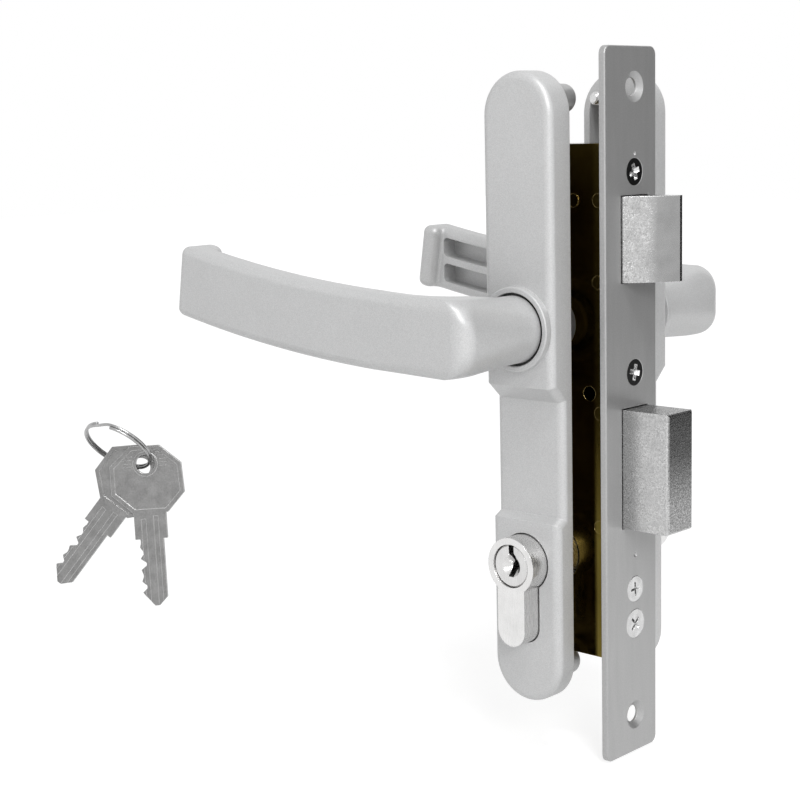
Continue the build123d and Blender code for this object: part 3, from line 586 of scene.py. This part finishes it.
def carved(piece, cutter):
    """The bmesh that is left of a piece without the cutter; both objects are used up."""
    change = piece.modifiers.new("cut", "BOOLEAN")
    change.operation = "DIFFERENCE"
    change.solver = "EXACT"
    change.object = cutter
    left = bmesh.new()
    left.from_mesh(piece.evaluated_get(bpy.context.evaluated_depsgraph_get()).to_mesh())
    bpy.data.objects.remove(piece)
    bpy.data.objects.remove(cutter)
    return left


def screw(profile, cross, length, outward, place, turn):
    """One screw in metres where it sits: turned head with a cross recess, and a cut thread."""
    head_r = profile[1][0]
    shank_r, shank_top = profile[-1]
    cutter = as_object("cutter", cross_cutter(head_r, cross))
    body = carved(as_object("head", turned(profile)), cutter)
    shank = as_object("shank", thread(shank_r, shank_top + THREAD_OVERLAP, -length))
    reach, depth = head_r * cross[0], head_r * cross[2]
    for face in body.faces:
        middle = face.calc_center_median()
        if middle.xy.length < reach and -depth - RECESS_SLACK < middle.z < RECESS_TOP:
            face.material_index = 1
    body.from_mesh(shank.data)
    bpy.data.objects.remove(shank)
    aim = Vector(outward).to_track_quat("Z", "Y").to_matrix().to_4x4()
    spin = Matrix.Rotation(radians(turn), 4, "Z")
    body.transform(Matrix.Translation(Vector(place) * MM) @ aim @ spin @ Matrix.Scale(MM, 4))
    return body


def put(name, bodies, node, body_name, materials):
    """Joins made bodies into one piece that stands for a node."""
    whole = bmesh.new()
    for body in bodies:
        mesh = bpy.data.meshes.new("part")
        body.to_mesh(mesh)
        body.free()
        whole.from_mesh(mesh)
        bpy.data.meshes.remove(mesh)
    piece = as_object(name, whole)
    for material in materials:
        piece.data.materials.append(material)
    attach(piece, body_name)
    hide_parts(node)
    return piece


def countersunk(head_r, shank_r):
    """Profile of a countersunk head down to the start of its thread."""
    inward, down = HEAD_BEVEL
    cone = head_r - shank_r
    return (head_r - inward, 0), (head_r, -down), (shank_r, -cone), (shank_r, -cone - HEAD_NECK)


def make_screws(bright, black):
    """Threaded screws in the faceplate and through the lever plates."""
    along_x, along_y = (1, 0, 0), (0, 1, 0)
    profile = countersunk(FACE_HEAD_R, FACE_SCREW_R)
    for node, spots in FACE_SCREWS.items():
        dark = node == "upper_face_screws"
        cross, finishes = (WIDE_CROSS, (black, bright)) if dark else (FINE_CROSS, (bright, bright))
        made = [
            screw(profile, cross, FACE_SCREW_LEN, along_x, (0, 0, z), turn) for z, turn in spots
        ]
        put(f"threaded_{node}", made, node, "lockset", finishes)

    finishes = (bright, bright)
    z, turn = CYLINDER_SCREW
    profile = countersunk(CYLINDER_HEAD_R, CYLINDER_SCREW_R)
    made = [screw(profile, FINE_CROSS, CYLINDER_SCREW_LEN, along_x, (0, 0, z), turn)]
    put("threaded_cylinder_screw", made, "cylinder_screw", "lockset", finishes)

    profile = countersunk(THROUGH_HEAD_R, FACE_SCREW_R)
    made = [
        screw(profile, WIDE_CROSS, face - THROUGH_END_Y, along_y, (SPINDLE_X, face, z), 0)
        for z, face in THROUGH_SCREWS
    ]
    put("threaded_through_screws", made, "through_screws", "lockset", finishes)


def wire(points, radius, sides=12):
    """Round wire along points, in millimetres, with both ends cut square."""
    rings = []
    side_way = None
    befores, afters = [points[0], *points[:-1]], [*points[1:], points[-1]]
    for before, point, after in zip(befores, points, afters):
        along = (after - before).normalized()
        if side_way is None:
            side_way = along.orthogonal()
        side_way = (side_way - along * side_way.dot(along)).normalized()
        up_way = along.cross(side_way)
        rings.append([
            point + side_way * (radius * across) + up_way * (radius * up)
            for across, up in circle(sides)
        ])
    body = lofted(rings)
    body.transform(Matrix.Scale(MM, 4))
    return body


def coil_piece(name, points, steel):
    """Smooth object of a wound spring."""
    coil = as_object(name, wire(points, SPRING_WIRE_R))
    coil.data.materials.append(steel)
    coil.data.shade_smooth()
    return coil


def make_latch_spring(steel):
    """The latch's coiled spring, carried with the lock's body."""
    first, last = LATCH_SPRING_X
    steps = LATCH_SPRING_TURNS * LATCH_SPRING_STEPS
    points = []
    for step in range(steps + 1):
        turn = 2 * pi * step / LATCH_SPRING_STEPS
        reach = Vector((0, LATCH_SPRING_R * cos(turn), LATCH_SPRING_R * sin(turn)))
        points.append(Vector((first + (last - first) * step / steps, 0, LATCH_SPRING_Z)) + reach)
    coil = coil_piece("latch_coil", points, steel)
    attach(coil, "lockset")
    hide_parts("latch_spring")
    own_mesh(coil)


def make_hub_spring(steel):
    """The spring round the follower's hub, from its hook to its leg."""
    low, high = HUB_SPRING_Y
    steps = int(HUB_SPRING_TURNS * HUB_SPRING_STEPS)
    points = [Vector((SPINDLE_X + HUB_SPRING_R, HUB_SPRING_HOOK_Y, SPINDLE_Z))]
    for step in range(steps + 1):
        turn = 2 * pi * step / HUB_SPRING_STEPS
        x = SPINDLE_X + HUB_SPRING_R * cos(turn)
        z = SPINDLE_Z - HUB_SPRING_R * sin(turn)
        points.append(Vector((x, low + (high - low) * step / steps, z)))
    points.append(Vector((SPINDLE_X - HUB_SPRING_R, high, HUB_SPRING_LEG_Z)))
    coil = coil_piece("hub_coil", points, steel)
    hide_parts("handle_spring")
    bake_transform(coil)


def make_plugs(nickel):
    """Cylinder plugs with a dished, chamfered face round the keyway."""
    for side, (face, inner) in PLUGS.items():
        outward = Vector((0, face / abs(face), 0))
        core = turned((*PLUG_FACE, (PLUG_R, -abs(face - inner))), PLUG_SIDES)
        aim = outward.to_track_quat("Z", "Y").to_matrix().to_4x4()
        core.transform(Matrix.Translation((SPINDLE_X, face, CYLINDER_Z)) @ aim)
        slot = lofted([
            [(SPINDLE_X + x, face - outward.y * depth, CYLINDER_Z + z) for x, z in KEYWAY]
            for depth in KEYWAY_DEPTHS
        ])
        slotted = carved(as_object("core", core), as_object("keyway", slot))
        slotted.transform(Matrix.Scale(MM, 4))
        put(f"{side}_dished_plug", [slotted], f"{side}_plug", "key_cam", (nickel,))


def ring_directions():
    """Long and short directions of the split ring."""
    turn, tilt = radians(RING_TURN), radians(RING_TILT)
    across, upward, away = CAMERA_RIGHT, CAMERA_UP, -CAMERA_BACK
    long_way = across * cos(turn) - upward * sin(turn)
    level_way = across * sin(turn) + upward * cos(turn)
    return long_way, level_way * cos(tilt) - away * sin(tilt)


def look_along(axes, place):
    """World matrix from three axes and a place."""
    matrix = Matrix(axes).transposed().to_4x4()
    matrix.translation = place
    return matrix


def rib_corner(corner, side, height, start, end):
    """Place of a unit cube's corner on one rib, in millimetres from the key's hole."""
    top = corner.z > 0
    length_share, width_share = KEY_RIB_TOP if top else (1.0, 1.0)
    return Vector((
        side * ((start + end) / 2 + corner.x * (end - start) * length_share),
        height + corner.y * KEY_RIB_W * width_share,
        KEY_FLOOR + (KEY_RIB_H if top else -KEY_RIB_SUNK),
    ))


def make_key_ribs(nickel):
    """Fine pressed ribs on each side of the hole in the keys' bows."""
    long_way, short_way = ring_directions()
    hang = radians(RING_HANG)
    along = short_way * cos(hang) - long_way * sin(hang)
    for name, (lean, level, aside, below) in KEYS.items():
        bearing = HANG_POINT - along * (level / along.dot(CAMERA_BACK))
        upright = CAMERA_RIGHT * sin(radians(lean)) + CAMERA_UP * cos(radians(lean))
        hole = bearing - CAMERA_RIGHT * aside - CAMERA_UP * below
        key_place = look_along((upright.cross(CAMERA_BACK), upright, CAMERA_BACK), hole)
        body = bmesh.new()
        for height, start, end in KEY_RIBS:
            for side in (-1, 1):
                for vert in bmesh.ops.create_cube(body, size=1.0)["verts"]:
                    vert.co = rib_corner(vert.co, side, height, start, end)
        bmesh.ops.recalc_face_normals(body, faces=body.faces)
        body.transform(Matrix.Scale(MM, 4) @ key_place)
        ribs = as_object(f"{name}_key_ribs", body)
        ribs.data.materials.append(nickel)
        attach(ribs, f"{name}_key")


def make_ring(steel):
    """Split ring wound from one wire: two turns, a crossing between them and two cut ends."""
    long_way, short_way = ring_directions()
    hang = radians(RING_HANG)
    normal = long_way.cross(short_way)
    centre = HANG_POINT - (long_way * cos(hang) + short_way * sin(hang)) * RING_R
    first, last = RING_ENDS
    steps = int((last - first) / RING_STEP)
    points = []
    for step in range(steps + 1):
        degrees = first + (last - first) * step / steps
        crossed = (degrees - first - 360 + RING_CROSSING) / RING_CROSSING
        rise = min(1.0, max(0.0, crossed))
        level = (2 * rise * rise * (3 - 2 * rise) - 1) * WIRE_R
        out = long_way * cos(radians(degrees)) + short_way * sin(radians(degrees))
        points.append(centre + out * RING_R + normal * level)
    body = wire(points, WIRE_R, WIRE_SIDES)
    piece = put("wound_ring", [body], "key_ring", "lockset", (steel,))
    piece.data.shade_smooth()


def make_camera():
    """Camera at the photograph's viewpoint."""
    data = bpy.data.cameras.new("camera")
    data.sensor_width = CAMERA_SENSOR
    data.lens = CAMERA_LENS
    data.clip_start, data.clip_end = CAMERA_CLIP
    camera = bpy.data.objects.new("camera", data)
    bpy.context.scene.collection.objects.link(camera)
    camera.matrix_world = look_along((CAMERA_RIGHT, CAMERA_UP, CAMERA_BACK), CAMERA_PLACE)
    bpy.context.scene.camera = camera


def make_lamps():
    """Large soft lamps that all face the middle of the lock."""
    for name, place, size, power in LAMPS:
        data = bpy.data.lights.new(name, "AREA")
        data.shape = "DISK"
        data.size = size
        data.energy = power
        lamp = bpy.data.objects.new(name, data)
        bpy.context.scene.collection.objects.link(lamp)
        lamp.location = place
        lamp.rotation_mode = "QUATERNION"
        lamp.rotation_quaternion = Vector(place).to_track_quat("Z", "Y")


def seen_directly(tree):
    """1 for rays from the camera and for those that metal or glass sends on."""
    rays = tree.nodes.new("ShaderNodeLightPath")
    total = rays.outputs["Is Camera Ray"]
    for kind in ("Is Glossy Ray", "Is Transmission Ray"):
        either = tree.nodes.new("ShaderNodeMath")
        either.operation = "MAXIMUM"
        tree.links.new(total, either.inputs[0])
        tree.links.new(rays.outputs[kind], either.inputs[1])
        total = either.outputs[0]
    return total


def make_world():
    """White behind the object, and a plain pale fill on it."""
    world = bpy.data.worlds.new("studio")
    bpy.context.scene.world = world
    world.use_nodes = True
    tree = world.node_tree
    background = tree.nodes["Background"]
    background.inputs["Color"].default_value = WHITE
    level = tree.nodes.new("ShaderNodeMapRange")
    level.inputs["To Min"].default_value = FILL_LEVEL
    level.inputs["To Max"].default_value = 1.0
    tree.links.new(seen_directly(tree), level.inputs["Value"])
    tree.links.new(level.outputs["Result"], background.inputs["Strength"])


def floor_paint():
    """White floor that keeps the shadow and runs into the background."""
    made = Finish("floor_paint", 0.0, 0.9)
    seen = seen_directly(made.tree)
    settings = {"operation": "LENGTH"}
    away = made.add("ShaderNodeVectorMath", settings, _0=made.place).outputs["Value"]
    shade = made.between(made.noise(2 * MM, 3), 0, 1, *FLOOR_SHADE)
    made.feed("Base Color", made.sum(shade, made.between(away, *FLOOR_FADE, *FLOOR_PAINT), seen))
    strength = made.product(made.between(away, *FLOOR_FADE, *FLOOR_GLOW), seen)
    glow = made.add("ShaderNodeEmission", Color=WHITE, Strength=strength)
    both = made.add("ShaderNodeAddShader", _0=made.shader.outputs[0], _1=glow.outputs[0])
    output = made.tree.nodes["Material Output"]
    made.tree.links.new(both.outputs[0], output.inputs["Surface"])
    return made.material


def flag_paint():
    """Black cloth of the studio's light flag."""
    made = Finish("flag_cloth", 0.0, 0.9)
    weave = made.noise(1 * MM, 2)
    made.feed("Base Color", made.blend(weave, grey(0.01), grey(0.02)))
    return made.material


def sheet(name, width, height, matrix, material):
    """A flat stage sheet."""
    mesh = bpy.data.meshes.new(name)
    corners = ((-1, -1), (1, -1), (1, 1), (-1, 1))
    mesh.from_pydata([(x * width / 2, y * height / 2, 0) for x, y in corners], [], [(0, 1, 2, 3)])
    mesh.materials.append(material)
    made = bpy.data.objects.new(name, mesh)
    bpy.context.scene.collection.objects.link(made)
    made.matrix_world = matrix
    return made


def make_stage():
    """Floor under the lock, and a dark flag that only reflections show."""
    low = Vector((0, 0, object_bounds()[0][2] - FLOOR_DROP))
    sheet("floor", FLOOR_SIZE, FLOOR_SIZE, Matrix.Translation(low), floor_paint())
    place = Vector(FLAG_PLACE)
    turn = place.to_track_quat("Z", "Y").to_matrix().to_4x4()
    flag = sheet("flag", *FLAG_SIZE, Matrix.Translation(place) @ turn, flag_paint())
    flag.visible_camera = False
    flag.visible_diffuse = False
    flag.visible_shadow = False


finishes = make_finishes()
finish_nodes(finishes)
make_screws(finishes["bright_steel"], finishes["black_oxide"])
make_plugs(finishes["plug_nickel"])
make_latch_spring(finishes["spring_steel"])
make_hub_spring(finishes["spring_steel"])
make_key_ribs(finishes["key_nickel"])
make_ring(finishes["ring_steel"])
make_stage()
make_world()
make_lamps()
make_camera()
bpy.context.scene.view_settings.view_transform = "Standard"
